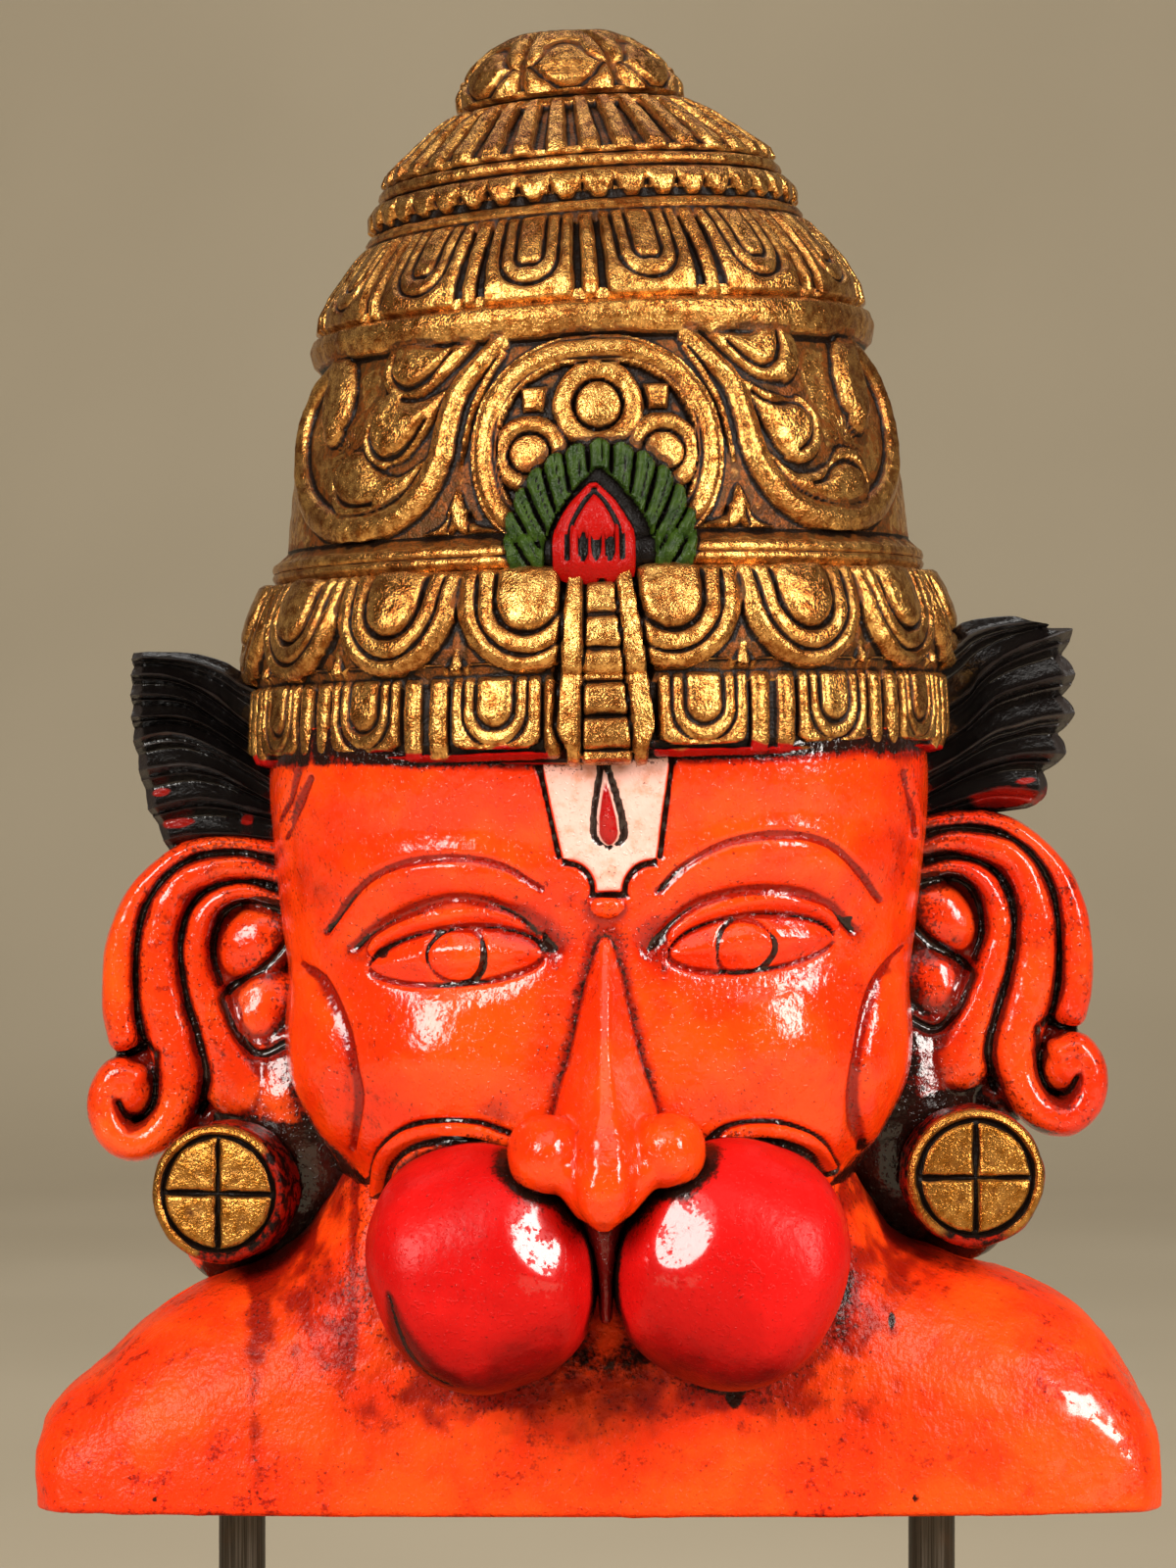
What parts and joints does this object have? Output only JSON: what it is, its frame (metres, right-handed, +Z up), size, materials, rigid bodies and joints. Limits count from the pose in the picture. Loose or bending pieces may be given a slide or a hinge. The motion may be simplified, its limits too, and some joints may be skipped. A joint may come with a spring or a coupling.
{
  "type": "carved wooden hanuman bust mask on a rod stand",
  "caption": "Flat-backed carved and lacquered wooden Hanuman bust mask with tiered gilt crown, ball cheeks, curled ears and disc earrings, on steel rods in a wooden foot.",
  "frame": {"origin": "middle of the wooden foot's underside, on the surface that the object stands on", "axes": "+Z up, -Y out of the face towards the viewer, +X to the viewer's right"},
  "size_m": [0.242, 0.123, 0.4355],
  "materials": {
    "painted_wood": "glossy lacquer paint: orange skin, red cheeks, black hair, antiqued gold crown",
    "rod_steel": "plain drawn steel, lightly darkened",
    "stained_wood": "dark satin stain"
  },
  "bodies": {
    "root": {"bust": "painted_wood", "rod_left": "rod_steel", "rod_right": "rod_steel", "base": "stained_wood"}
  },
  "joints": []
}
